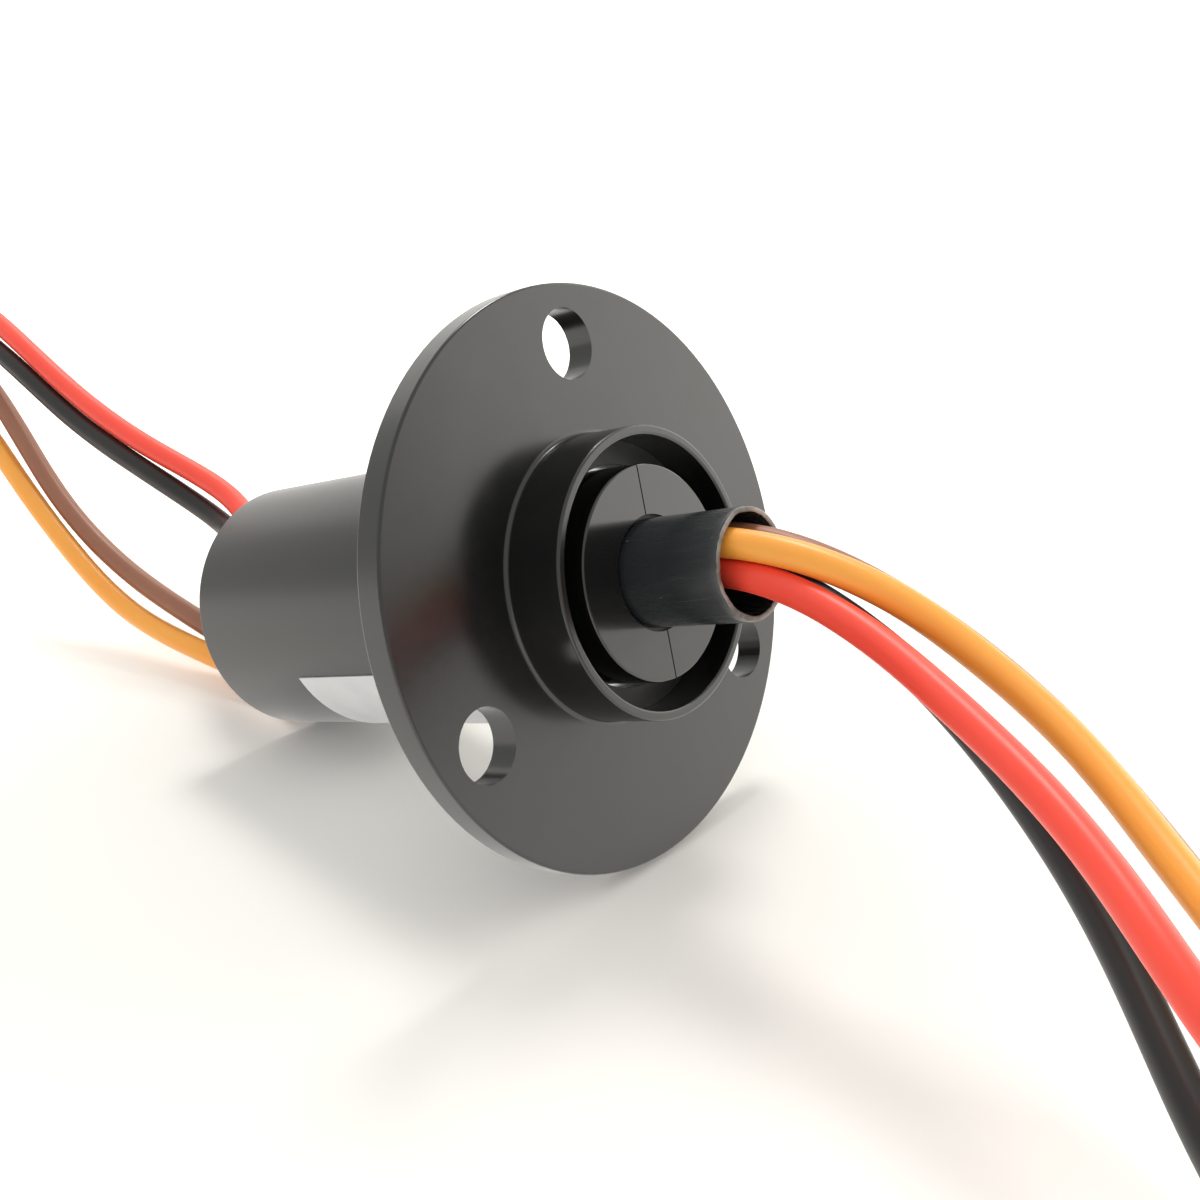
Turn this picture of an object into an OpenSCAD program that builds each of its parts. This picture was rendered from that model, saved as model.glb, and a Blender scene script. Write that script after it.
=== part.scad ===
// Flanged capsule slip ring for four circuits, with its rotor, brushes, bearings and leads.
// The pieces are drawn about the ring's own axis, which is Z: the flange's front face is at
// z = 0 and the lead sleeve points to +Z. rest() then lays each one down as the ring lies on
// a table, on the rim of its flange and the rear rim of its barrel, front end to +X.

/* [Flange] */
// Diameter of the flange
flange_d = 44.5; // [40:0.5:60]
// Thickness of the flange
flange_t = 2.3; // [1.8:0.1:4]
// Diameter of the mounting holes
hole_d = 5.4; // [3:0.1:6]
// Width of the flange outside each mounting hole
hole_edge = 1.85; // [1:0.05:4]
// Number of mounting holes
hole_count = 3; // [2:1:6]
// Turn of the first hole away from the top
hole_turn = 5.3; // [-30:0.1:30]

/* [Housing] */
// Outside diameter of the barrel behind the flange
barrel_d = 22; // [21.6:0.1:24]
// Length of the barrel behind the flange
barrel_len = 36.3; // [34:0.1:50]
// Wall of the barrel
barrel_wall = 1.2; // [0.8:0.1:1.5]
// Outside diameter of the collar in front of the flange
collar_d = 21.8; // [21.4:0.1:24]
// Height of the collar above the flange
collar_h = 5; // [4:0.1:8]
// Wall of the collar at its mouth
collar_wall = 0.75; // [0.6:0.05:1.4]
// Depth of the ring-shaped groove inside the collar
groove_depth = 3.4; // [2.4:0.1:3.8]
// Rounding of the moulded edges
edge_r = 0.2; // [0.1:0.05:0.3]
// Fillet where the barrel and the collar meet the flange
root_r = 0.35; // [0.1:0.05:0.6]

/* [Rotor] */
// Width of the groove between the collar and the rotor's two-part disc
groove_w = 2.05; // [1:0.05:2.3]
// How far the disc's face lies below the collar's mouth
disc_recess = 0.3; // [0:0.1:1]
// Width of the split between the halves of the disc
disc_split = 0.12; // [0.05:0.01:0.3]
// Turn of the split away from the top
disc_turn = 4; // [-90:1:90]
// Diameter of the hole in the disc that the sleeve comes through
disc_hole_d = 8.7; // [8.4:0.1:9.4]
// Outside diameter of the lead sleeve
sleeve_d = 8.1; // [7.6:0.1:8.2]
// Wall of the lead sleeve
sleeve_wall = 0.35; // [0.25:0.05:0.6]
// How far the lead sleeve reaches in front of the flange
sleeve_reach = 13.6; // [8:0.1:20]
// Wall of the rotor's drum round its potted bore
drum_wall = 1.6; // [1.2:0.1:2]
// Running gap between the rotor and the housing
run_gap = 0.3; // [0.15:0.05:0.4]

/* [Bearings] */
// Wall of the housing's seat round the front bearing
front_seat_wall = 0.8; // [0.5:0.1:1.2]
// Height of the front bearing's section, from its bore to its outside
front_section = 3; // [2.4:0.1:3.2]
// Width of the front bearing
front_width = 4; // [3:0.1:5]
// Number of balls in the front bearing
front_balls_n = 12; // [8:1:14]
// Distance of the rear bearing's seat from the barrel's bore
rear_seat_wall = 4.8; // [4.4:0.1:5.2]
// Height of the rear bearing's section, from its bore to its outside
rear_section = 2; // [1.6:0.1:2.3]
// Width of the rear bearing
rear_width = 3; // [2.5:0.1:3.5]
// Number of balls in the rear bearing
rear_balls_n = 8; // [6:1:9]
// Clearance of a ball in its races and its cage
ball_gap = 0.05; // [0.02:0.01:0.1]

/* [Contact rings] */
// Number of circuits
circuits = 4; // [1:1:4]
// Thickness of a contact ring, from its bore to its outside
contact_wall = 1.6; // [1:0.1:1.9]
// Width of a contact ring
contact_w = 3; // [2:0.1:3.2]
// Depth of the V grooves that the brush wires run in
vee_depth = 0.4; // [0.3:0.05:0.5]
// Width of a V groove at its mouth
vee_w = 0.9; // [0.7:0.05:1]
// Distance between the two V grooves of a contact ring
vee_pitch = 1.5; // [1.2:0.1:1.7]
// How far the insulating spacers stand out above the contact rings
spacer_rim = 0.6; // [0.3:0.1:0.9]
// Width of a spacer
spacer_w = 2; // [1:0.1:2.2]

/* [Brushes] */
// Diameter of a brush wire
wire_d = 0.4; // [0.25:0.05:0.5]
// Length of wire that reaches past the contact point
wire_over = 2.2; // [1:0.1:2.5]
// Thickness of a brush board
board_t = 0.9; // [0.6:0.1:1.2]
// Distance from the barrel's bore to the middle of a board's back
board_inset = 0.9; // [0.6:0.1:1.4]
// Gap between a board and the spacers
board_gap = 0.8; // [0.4:0.1:1]

/* [Leads] */
// Outside diameter of a lead's insulation
lead_d = 2.2; // [1.6:0.1:2.4]
// Distance of the rear leads from the barrel's bore where they leave the rear cap
exit_inset = 2.8; // [2.4:0.1:3]
// Distance between the two leads of a pair in their slot
lead_pitch = 2.5; // [2.3:0.1:2.6]
// Height of the label on the barrel, around it
label_angle = 120; // [60:5:180]
// Length of the label along the barrel
label_len = 22; // [10:1:24]
// Thickness of the label
label_t = 0.1; // [0.05:0.05:0.2]

/* [Coils] */
// Radius of the innermost turn of a coil of leads
coil_inner_r = 9.5; // [9:0.5:12]
// Layers of turns in a coil
coil_layers = 3; // [2:1:4]
// Thickness of the ties round a coil
tie_t = 0.5; // [0.3:0.1:0.8]
// Width of a tie
tie_w = 2.6; // [2:0.1:4]

/* [Hidden] */
$fn = 96;

flange_r = flange_d / 2;
barrel_r = barrel_d / 2;
cavity_r = barrel_r - barrel_wall;
collar_r = collar_d / 2;
mouth_r = collar_r - collar_wall;
disc_r = mouth_r - groove_w;
hole_circle_r = flange_r - hole_edge - hole_d / 2;
sleeve_r = sleeve_d / 2;
sleeve_bore_r = sleeve_r - sleeve_wall;
lead_r = lead_d / 2;

// Inside the barrel, each piece is set in from the one that goes round it.
board_x = cavity_r - board_inset - board_t;
spacer_r = board_x - board_gap;
contact_r = spacer_r - spacer_rim;
drum_r = contact_r - contact_wall;
front_outer_d = 2 * (cavity_r - front_seat_wall);
front_bore_d = front_outer_d - 2 * front_section;
rear_outer_d = 2 * (cavity_r - rear_seat_wall);
rear_bore_d = rear_outer_d - 2 * rear_section;
rear_exit_r = cavity_r - exit_inset;
spigot_r = (front_bore_d / 2 + sleeve_r) / 2;

// Stations along the axis, from the front to the rear.
mouth_z = collar_h;
disc_z = mouth_z - disc_recess;
groove_z = mouth_z - groove_depth;
retainer_t = 1.4;
front_seat_z = groove_z - retainer_t;
front_back_z = front_seat_z - front_width;
web_t = 1;
web_z = front_back_z - web_t;
shoulder_t = 2.6;
stack_z = front_back_z - shoulder_t;
stack_len = circuits * contact_w + (circuits + 1) * spacer_w;
clamp_t = 1;
clamp_z = stack_z - stack_len;
drum_end_z = clamp_z - clamp_t - 0.2;
rear_z = -flange_t - barrel_len;
cap_t = 2.2;
holder_lip = 0.6;
holder_back_z = drum_end_z - 1 - rear_width - 0.3;
rear_front_z = drum_end_z - 1;
rear_back_z = rear_front_z - rear_width;
holder_z = rear_front_z + holder_lip;

// How the ring lies: on two rims, its front end up.
tilt = atan((flange_r - barrel_r) / barrel_len);
lift = (flange_r - edge_r) * cos(tilt) + (flange_t - edge_r) * sin(tilt) + edge_r;
rear_x = -(barrel_r - edge_r) * sin(tilt) + (rear_z + edge_r) * cos(tilt) - edge_r;
front_x = sleeve_r * sin(tilt) + sleeve_reach * cos(tilt);
shift = -(rear_x + front_x) / 2;

// The point at height u above the axis, w to its left and z along it, as it lies at rest.
function at_rest(u, w, z) = [
    shift + z * cos(tilt) - u * sin(tilt), w, lift + z * sin(tilt) + u * cos(tilt)
];

// Points on an arc about [x, y], from angle a to angle b.
function arc(x, y, r, a, b, n = 6) =
    [for (i = [0 : n]) [x + r * cos(a + (b - a) * i / n), y + r * sin(a + (b - a) * i / n)]];

module rest() {
    translate([shift, 0, lift])
        rotate([0, 90 - tilt, 0])
            children();
}

module revolved(points, turn = 360) {
    rotate_extrude(angle = turn)
        polygon(points);
}

module tube(r, bore, z0, z1) {
    translate([0, 0, z0])
        difference() {
            cylinder(r = r, h = z1 - z0);
            translate([0, 0, -1])
                cylinder(r = bore, h = z1 - z0 + 2);
        }
}

// ---- Housing: flange, collar and barrel are one moulding.

housing_profile = concat(
    [[cavity_r, rear_z]],
    arc(barrel_r - edge_r, rear_z + edge_r, edge_r, -90, 0),
    arc(barrel_r + root_r, -flange_t - root_r, root_r, 180, 90),
    arc(flange_r - edge_r, -flange_t + edge_r, edge_r, -90, 0),
    arc(flange_r - edge_r, -edge_r, edge_r, 0, 90),
    arc(collar_r + root_r, root_r, root_r, -90, -180),
    arc(collar_r - edge_r, mouth_z - edge_r, edge_r, 0, 90),
    arc(mouth_r + edge_r, mouth_z - edge_r, edge_r, 90, 180),
    [
        [mouth_r, front_seat_z], [front_outer_d / 2, front_seat_z],
        [front_outer_d / 2, front_back_z], [front_outer_d / 2 - 1, front_back_z],
        [front_outer_d / 2 - 1, web_z], [cavity_r, web_z]
    ]
);

module flanged_housing() {
    color("#4a4a48")
        rest()
            difference() {
                revolved(housing_profile);
                for (i = [0 : hole_count - 1])
                    rotate([0, 0, 180 - hole_turn + i * 360 / hole_count])
                        translate([hole_circle_r, 0, -flange_t - 1])
                            cylinder(d = hole_d, h = flange_t + 2);
            }
}

module front_retaining_ring() {
    color("#2c2c2b")
        rest()
            tube(mouth_r, disc_r + run_gap, front_seat_z, groove_z);
}

// The rear bearing sits in a disc across the barrel, notched where the leads pass it.
notch_inner_r = rear_outer_d / 2 + 1;

module rear_bearing_holder() {
    color("#333332")
        rest()
            difference() {
                translate([0, 0, holder_back_z])
                    cylinder(r = cavity_r, h = holder_z - holder_back_z);
                translate([0, 0, holder_back_z - 1])
                    cylinder(d = rear_outer_d, h = rear_front_z - holder_back_z + 1);
                translate([0, 0, rear_front_z - 1])
                    cylinder(d = rear_outer_d - 1.2, h = holder_lip + 2);
                for (side = [0, 180])
                    rotate([0, 0, side])
                        translate([notch_inner_r, -lead_pitch - 0.2, holder_back_z - 1])
                            cube([cavity_r, 2 * lead_pitch + 0.4, 2 * rear_width]);
            }
}

// The rear cap closes the barrel and has a slot for each pair of leads.
slot_gap = 0.15;
cap_skirt_t = 0.6;

module rear_cap() {
    color("#2c2c2b")
        rest()
            difference() {
                translate([0, 0, rear_z])
                    cylinder(r = cavity_r, h = holder_back_z - rear_z);
                translate([0, 0, rear_z + cap_t])
                    cylinder(r = cavity_r - cap_skirt_t, h = barrel_len);
                for (side = [-1, 1]) {
                    for (w = [-lead_pitch / 2, lead_pitch / 2])
                        translate([side * rear_exit_r, w, rear_z - 1])
                            cylinder(r = lead_r + slot_gap, h = cap_t + 2);
                    translate([side * rear_exit_r - lead_r - slot_gap, -lead_pitch / 2, rear_z - 1])
                        cube([lead_d + 2 * slot_gap, lead_pitch, cap_t + 2]);
                }
            }
}

// A bare paper label round the underside of the barrel.
label_start = 111;
label_front_z = -flange_t - 3;

module label() {
    color("#cbcacc")
        rest()
            rotate([0, 0, 180 + label_start])
                translate([0, 0, label_front_z - label_len])
                    rotate_extrude(angle = label_angle)
                        translate([barrel_r, 0])
                            square([label_t, label_len]);
}

// ---- Brushes: a board on each side of the rotor, with sprung wires astride each ring.

board_half_w = sqrt(pow(cavity_r, 2) - pow(board_x + board_t, 2));

module brush_board(side) {
    color("#2f6b45")
        rest()
            rotate([0, 0, side])
                translate([board_x, -board_half_w, holder_z])
                    cube([board_t, 2 * board_half_w, web_z - holder_z]);
}

// A wire leaves the board near its edge and runs on tangent to the bottom of the groove.
wire_seat_r = contact_r - vee_depth + wire_d / 2 + 0.1;
wire_root_y = board_half_w - 0.5;
wire_root_r = norm([board_x, wire_root_y]);
wire_dir = atan(wire_root_y / board_x) + acos(wire_seat_r / wire_root_r) + 90;
wire_len = sqrt(pow(wire_root_r, 2) - pow(wire_seat_r, 2)) + wire_over;

module brush_wire() {
    difference() {
        translate([board_x, wire_root_y, 0])
            rotate([0, 90, wire_dir])
                translate([0, 0, -1])
                    cylinder(d = wire_d, h = wire_len + 1, $fn = 24);
        translate([board_x, -cavity_r, -wire_d])
            cube([barrel_d, barrel_d, 2 * wire_d]);
    }
}

function ring_mid(n) = stack_z - spacer_w * n - contact_w * (n - 0.5);

module brush_wires(n) {
    color("#d9b25a")
        rest()
            for (side = [0, 180])
                translate([0, 0, ring_mid(n) + (side == 0 ? vee_pitch : -vee_pitch) / 2])
                    rotate([0, 0, side]) {
                        brush_wire();
                        mirror([0, 1, 0])
                            brush_wire();
                    }
}

// ---- Ball bearings: each is two grooved races, a cage and its balls.

race_t = 0.3;

function pitch_r(bore, outer) = (bore + outer) / 4;
function ball_r(bore, outer) = (outer - bore) * 0.14;

module race(inner, outer, pitch, ball, z0, width) {
    translate([0, 0, z0])
        rotate_extrude()
            difference() {
                translate([inner, 0])
                    square([outer - inner, width]);
                translate([pitch, width / 2])
                    circle(r = ball + ball_gap, $fn = 48);
            }
}

module inner_race(bore, outer, z0, width) {
    race(bore / 2, bore / 2 + (outer - bore) * race_t / 2, pitch_r(bore, outer),
        ball_r(bore, outer), z0, width);
}

module outer_race(bore, outer, z0, width) {
    race(outer / 2 - (outer - bore) * race_t / 2, outer / 2, pitch_r(bore, outer),
        ball_r(bore, outer), z0, width);
}

module ball_ring(bore, outer, z0, width, n, r) {
    for (i = [0 : n - 1])
        rotate([0, 0, i * 360 / n])
            translate([pitch_r(bore, outer), 0, z0 + width / 2])
                sphere(r = r, $fn = 32);
}

module cage(bore, outer, z0, width, n) {
    web = (outer - bore) * 0.065;
    ball = ball_r(bore, outer);
    mid = z0 + width / 2;
    difference() {
        tube(pitch_r(bore, outer) + web, pitch_r(bore, outer) - web,
            mid - ball * 1.5, mid + ball * 1.5);
        for (i = [0 : n - 1])
            rotate([0, 90, i * 360 / n])
                translate([-mid, 0, pitch_r(bore, outer) - 2 * web])
                    cylinder(r = ball + ball_gap, h = 4 * web, $fn = 32);
    }
}

module front_outer_race() {
    color("#b8bcc0")
        rest()
            outer_race(front_bore_d, front_outer_d, front_back_z, front_width);
}

module front_inner_race() {
    color("#b8bcc0")
        rest()
            inner_race(front_bore_d, front_outer_d, front_back_z, front_width);
}

module front_cage() {
    color("#c9a24b")
        rest()
            cage(front_bore_d, front_outer_d, front_back_z, front_width, front_balls_n);
}

module front_balls() {
    color("#d4d7da")
        rest()
            ball_ring(front_bore_d, front_outer_d, front_back_z, front_width, front_balls_n,
                ball_r(front_bore_d, front_outer_d));
}

module rear_outer_race() {
    color("#b8bcc0")
        rest()
            outer_race(rear_bore_d, rear_outer_d, rear_back_z, rear_width);
}

module rear_inner_race() {
    color("#b8bcc0")
        rest()
            inner_race(rear_bore_d, rear_outer_d, rear_back_z, rear_width);
}

module rear_cage() {
    color("#c9a24b")
        rest()
            cage(rear_bore_d, rear_outer_d, rear_back_z, rear_width, rear_balls_n);
}

module rear_balls() {
    color("#d4d7da")
        rest()
            ball_ring(rear_bore_d, rear_outer_d, rear_back_z, rear_width, rear_balls_n,
                ball_r(rear_bore_d, rear_outer_d));
}

// ---- Rotor: a moulded core, the stack of contact rings, the split disc and the sleeve.

spigot_z = disc_z - 0.5;
sleeve_root_z = -2;
core_bore_r = drum_r - drum_wall;
core_bore_z = drum_end_z + 2;
shoulder_r = front_bore_d / 2 + 0.6;

core_profile = [
    [0, rear_back_z], [rear_bore_d / 2, rear_back_z], [rear_bore_d / 2, rear_front_z],
    [rear_bore_d / 2 + 0.4, rear_front_z], [rear_bore_d / 2 + 0.4, drum_end_z],
    [drum_r, drum_end_z], [drum_r, stack_z], [shoulder_r, stack_z],
    [shoulder_r, front_back_z], [front_bore_d / 2, front_back_z],
    [front_bore_d / 2, front_seat_z], [spigot_r, front_seat_z], [spigot_r, spigot_z],
    [sleeve_r, spigot_z], [sleeve_r, sleeve_root_z], [core_bore_r, sleeve_root_z],
    [core_bore_r, core_bore_z], [0, core_bore_z]
];

module rotor_core() {
    color("#3a3a39")
        rest()
            revolved(core_profile);
}

// Epoxy fills the core's bore and holds the ends of the leads.
module lead_potting() {
    color("#57534a")
        rest()
            translate([0, 0, core_bore_z])
                cylinder(r = core_bore_r, h = sleeve_root_z - core_bore_z);
}

module ring_spacers() {
    color("#e4dcc6")
        rest()
            for (n = [0 : circuits])
                tube(spacer_r, drum_r, stack_z - n * (contact_w + spacer_w) - spacer_w,
                    stack_z - n * (contact_w + spacer_w));
}

module contact_ring(n) {
    color("#d8a93f")
        rest()
            translate([0, 0, ring_mid(n)])
                rotate_extrude()
                    difference() {
                        translate([drum_r, -contact_w / 2])
                            square([contact_r - drum_r, contact_w]);
                        for (z = [-vee_pitch / 2, vee_pitch / 2])
                            translate([contact_r, z])
                                polygon([[0, -vee_w / 2], [0, vee_w / 2], [-vee_depth, 0]]);
                    }
}

module stack_clamp_ring() {
    color("#2c2c2b")
        rest()
            tube(contact_r, drum_r, clamp_z - clamp_t, clamp_z);
}

// Each half of the disc grips the core's spigot and holds the front bearing's inner race.
disc_profile = concat(
    [[spigot_r, front_seat_z], [shoulder_r, front_seat_z], [shoulder_r, front_seat_z + 0.4]],
    [[disc_r, front_seat_z + 0.4]],
    arc(disc_r - edge_r, disc_z - edge_r, edge_r, 0, 90),
    [[disc_hole_d / 2, disc_z], [disc_hole_d / 2, spigot_z], [spigot_r, spigot_z]]
);

module disc_half(side) {
    color("#454543")
        rest()
            rotate([0, 0, 180 - disc_turn])
                difference() {
                    revolved(disc_profile);
                    translate([-collar_d, side == 1 ? -collar_d : -disc_split / 2, 0])
                        cube([2 * collar_d, collar_d + disc_split / 2, 2 * collar_h]);
                }
}

module lead_sleeve() {
    color("#1f2122")
        rest()
            tube(sleeve_r, sleeve_bore_r, sleeve_root_z, sleeve_reach);
}

// ---- Leads: each is a round tube swept along its own points, then a share of a coil.

function unit(v) = v / norm(v);
function along(p, i) = unit(p[min(i + 1, len(p) - 1)] - p[max(i - 1, 0)]);
function lead_ring(p, i, sides) =
    let (t = along(p, i), s = unit(cross([0, 0, 1], t)), n = cross(t, s))
        [for (k = [0 : sides - 1])
            p[i] + lead_r * (cos(k * 360 / sides) * s + sin(k * 360 / sides) * n)];

module lead_tube(p, sides = 8) {
    last = len(p) - 1;
    polyhedron(
        points = [for (i = [0 : last]) each lead_ring(p, i, sides)],
        faces = concat(
            [[for (k = [0 : sides - 1]) k]],
            [for (i = [0 : last - 1], k = [0 : sides - 1])
                [i * sides + (k + 1) % sides, i * sides + k,
                    (i + 1) * sides + k, (i + 1) * sides + (k + 1) % sides]],
            [[for (k = [sides - 1 : -1 : 0]) last * sides + k]]
        )
    );
}

// A front lead starts on the potting and leaves through the mouth of the sleeve.
function front_start(u, w) = [at_rest(u, w, sleeve_root_z), at_rest(u, w, sleeve_reach)];

front_red_route = concat(front_start(-0.6, -1.2), [
    [35.6, -3.4, 24.8], [44.2, -8, 23.8], [51.4, -12.5, 22.7], [57.2, -16.8, 21.4],
    [63, -21.4, 19.5], [73, -25, 14], [84, -25, 8], [98, -23.9, 5.2]
]);
front_orange_route = concat(front_start(1.7, -1.2), [
    [36.2, -0.5, 26.3], [43.8, -1.2, 23.6], [50.8, -3.9, 21.2], [56.9, -8, 19.1],
    [63.5, -13.3, 17.2], [72.5, -19, 13.4], [84, -22, 8.6], [98, -21.7, 5.8]
]);
front_brown_route = concat(front_start(1.2, 1.5), [
    [34.9, 2.3, 25.2], [42.7, 1.7, 22.4], [49.9, -1, 19.8], [56.2, -4.9, 17.5],
    [63, -10.2, 15.4], [73, -16.6, 12.2], [84, -19.6, 8.8], [98, -19.5, 6.7]
]);
front_black_route = concat(front_start(-1.3, 1.4), [
    [35.5, -1.3, 23.6], [42, -4.6, 22.4], [50, -8.5, 19], [57.3, -13.8, 15.4],
    [63.6, -20.3, 12.6], [72, -26.4, 9.4], [83, -28, 6.6], [98, -26.1, 4.7]
]);

// A rear lead starts on a brush board, passes the bearing holder and leaves by the cap.
function rear_start(side, w) = [
    at_rest(side * (board_x - 0.5), w, holder_z),
    at_rest(side * rear_exit_r, w, rear_z), at_rest(side * rear_exit_r, w, rear_z - 3.4)
];

rear_red_route = concat(rear_start(1, lead_pitch / 2), [
    [-38.2, 4, 16.9], [-49.5, 3.5, 20.1], [-62.8, 3.2, 24.1], [-78.2, 3.7, 30.2],
    [-92, 5.2, 31.6], [-104, 6.8, 23], [-112, 7.8, 11.2], [-120, 8.1, 5]
]);
rear_black_route = concat(rear_start(1, -lead_pitch / 2), [
    [-38, 2.6, 14.6], [-49.2, 2.4, 17.9], [-62.5, 2.1, 21.9], [-77.4, 2.3, 27.8],
    [-90, 3.3, 29], [-102, 4.6, 21.6], [-110.5, 5.6, 11.2], [-120, 5.9, 5.4]
]);
rear_brown_route = concat(rear_start(-1, lead_pitch / 2), [
    [-40, -0.6, 5], [-50, -0.8, 7.4], [-62, -0.6, 12.7], [-73.3, 0.7, 20.4],
    [-85, 2, 25.6], [-97, 3.2, 20.8], [-107.5, 3.7, 12], [-120, 3.7, 5.9]
]);
rear_orange_route = concat(rear_start(-1, -lead_pitch / 2), [
    [-37.2, -2.3, 2.8], [-48, -3, 4.6], [-59.4, -2.8, 9.6], [-71, -1.8, 16.4],
    [-83, -0.5, 21.8], [-95, 0.9, 17.8], [-106, 1.5, 10.8], [-120, 1.5, 6.6]
]);

module lead(colour, route) {
    color(colour)
        lead_tube(route);
}

// A coil of four leads side by side, lying on its ties.
front_coil_at = [98, -10];
rear_coil_at = [-120, -8];
coil_r0 = coil_inner_r - lead_r;
coil_r1 = coil_inner_r + 3.5 * lead_d;
coil_h = coil_layers * lead_d;
coil_corner = lead_r * 0.8;

function coil_section(grow) = concat(
    arc(coil_r1 - coil_corner, coil_corner, coil_corner + grow, -90, 0, 4),
    arc(coil_r1 - coil_corner, coil_h - coil_corner, coil_corner + grow, 0, 90, 4),
    arc(coil_r0 + coil_corner, coil_h - coil_corner, coil_corner + grow, 90, 180, 4),
    arc(coil_r0 + coil_corner, coil_corner, coil_corner + grow, 180, 270, 4)
);

module lead_coil(at) {
    color("#8a5a3c")
        translate([at[0], at[1], tie_t])
            revolved(coil_section(0));
}

module coil_ties(at, turns) {
    span = tie_w / coil_r1 * 180 / PI;
    color("#26282a")
        for (turn = turns)
            translate([at[0], at[1], tie_t])
                rotate([0, 0, turn])
                    rotate_extrude(angle = span)
                        difference() {
                            polygon(coil_section(tie_t));
                            polygon(coil_section(0));
                        }
}

flanged_housing();
front_retaining_ring();
rear_bearing_holder();
rear_cap();
label();
brush_board(180);  // upper_brush_board
brush_board(0);  // lower_brush_board
brush_wires(1);  // brush_wires_1
brush_wires(2);  // brush_wires_2
brush_wires(3);  // brush_wires_3
brush_wires(4);  // brush_wires_4
front_outer_race();
front_inner_race();
front_cage();
front_balls();
rear_outer_race();
rear_inner_race();
rear_cage();
rear_balls();
rotor_core();
ring_spacers();
contact_ring(1);  // contact_ring_1
contact_ring(2);  // contact_ring_2
contact_ring(3);  // contact_ring_3
contact_ring(4);  // contact_ring_4
stack_clamp_ring();
disc_half(1);  // near_disc_half
disc_half(-1);  // far_disc_half
lead_sleeve();
lead_potting();
lead("#e8482f", front_red_route);  // front_red_lead
lead("#f59a3e", front_orange_route);  // front_orange_lead
lead("#8f5f45", front_brown_route);  // front_brown_lead
lead("#2e2d2c", front_black_route);  // front_black_lead
lead_coil(front_coil_at);  // front_lead_coil
coil_ties(front_coil_at, [20, 160]);  // front_coil_ties
lead("#e8482f", rear_red_route);  // rear_red_lead
lead("#2e2d2c", rear_black_route);  // rear_black_lead
lead("#8f5f45", rear_brown_route);  // rear_brown_lead
lead("#f59a3e", rear_orange_route);  // rear_orange_lead
lead_coil(rear_coil_at);  // rear_lead_coil
coil_ties(rear_coil_at, [200, 340]);  // rear_coil_ties
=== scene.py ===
# %% [markdown]
# # A capsule slip ring, dressed round its CAD frame
# A slip ring carries four circuits from a fixed panel to something that turns. Its black housing
# is bolted down by the flange, its rotor turns in the collar, and four coloured leads come out at
# each end. Every hard piece is already a CAD solid, so this file gives the solids their finishes
# and makes anew only what a solid is too plain for: the leads and the cut sleeve.

# %% Load the frame
import math

import bpy
import numpy as np
from mathutils import Matrix


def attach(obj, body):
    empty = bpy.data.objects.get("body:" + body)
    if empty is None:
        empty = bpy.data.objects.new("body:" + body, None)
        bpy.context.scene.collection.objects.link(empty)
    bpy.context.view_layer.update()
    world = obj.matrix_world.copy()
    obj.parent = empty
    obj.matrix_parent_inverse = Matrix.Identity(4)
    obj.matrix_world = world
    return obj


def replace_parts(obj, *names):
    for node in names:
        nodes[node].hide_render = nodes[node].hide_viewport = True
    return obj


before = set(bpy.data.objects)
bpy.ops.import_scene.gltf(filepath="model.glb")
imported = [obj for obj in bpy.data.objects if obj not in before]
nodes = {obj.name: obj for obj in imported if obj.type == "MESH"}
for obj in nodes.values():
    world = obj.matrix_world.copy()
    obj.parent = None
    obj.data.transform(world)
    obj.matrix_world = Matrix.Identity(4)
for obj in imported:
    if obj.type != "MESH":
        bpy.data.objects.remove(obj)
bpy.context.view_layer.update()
MM = 0.001
rng = np.random.default_rng(22)

# %% [markdown]
# ## Where things are
# The ring rests on two rims, so its own axis rises by an angle that follows from the flange's and
# the barrel's radii and the length between them. `at_rest` turns ring coordinates (height above
# the axis, distance to its left, distance in front of the flange) into places in the frame.

# %% The ring's own coordinates
FLANGE_R, BARREL_R, BARREL_LEN = 22.25, 11.0, 36.3
REAR_Z = -38.6
tilt = math.atan((FLANGE_R - BARREL_R) / BARREL_LEN)
AXIS = np.array([math.cos(tilt), 0, math.sin(tilt)])
UP = np.array([-math.sin(tilt), 0, math.cos(tilt)])
LEFT = np.array([0.0, 1.0, 0.0])
CENTRE = np.array([12.9433, 0, 21.8834])


def at_rest(u, w, z):
    """Centre plus u along the ring's upward radius, w to its left and z along its axis, in mm."""
    u, w, z = (np.asarray(v, float)[..., None] for v in (u, w, z))
    return CENTRE + u * UP + w * LEFT + z * AXIS


print("tilt", round(math.degrees(tilt), 2), "degrees; sleeve mouth at", at_rest(0, 0, 13.6).round(1))

# %% [markdown]
# ## Camera
# The eye is close to the part, a hand's breadth from the flange, so the near leads look thick and
# the barrel tapers. A camera that is aimed with three perpendicular directions needs no target.

# %% Camera
LENS_MM, SENSOR_MM = 41.03, 36.0
EYE = np.array([72.79, -76.41, 58.35]) * MM
RIGHT = np.array([0.78308, 0.62192, 0.0])
FORWARD = np.array([-0.57841, 0.72829, -0.36747])
RIGHT /= np.linalg.norm(RIGHT)
FORWARD /= np.linalg.norm(FORWARD)

camera = bpy.data.objects.new("camera", bpy.data.cameras.new("camera"))
camera.data.lens = LENS_MM
camera.data.sensor_width = SENSOR_MM
camera.data.clip_start, camera.data.clip_end = 0.005, 20
turn = np.column_stack([RIGHT, np.cross(RIGHT, FORWARD), -FORWARD])
camera.matrix_world = Matrix.Translation(EYE) @ Matrix(turn.tolist()).to_4x4()
bpy.context.scene.collection.objects.link(camera)
bpy.context.scene.camera = camera
print("camera", np.linalg.norm(EYE - CENTRE * MM).round(3), "m from the flange")

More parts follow.
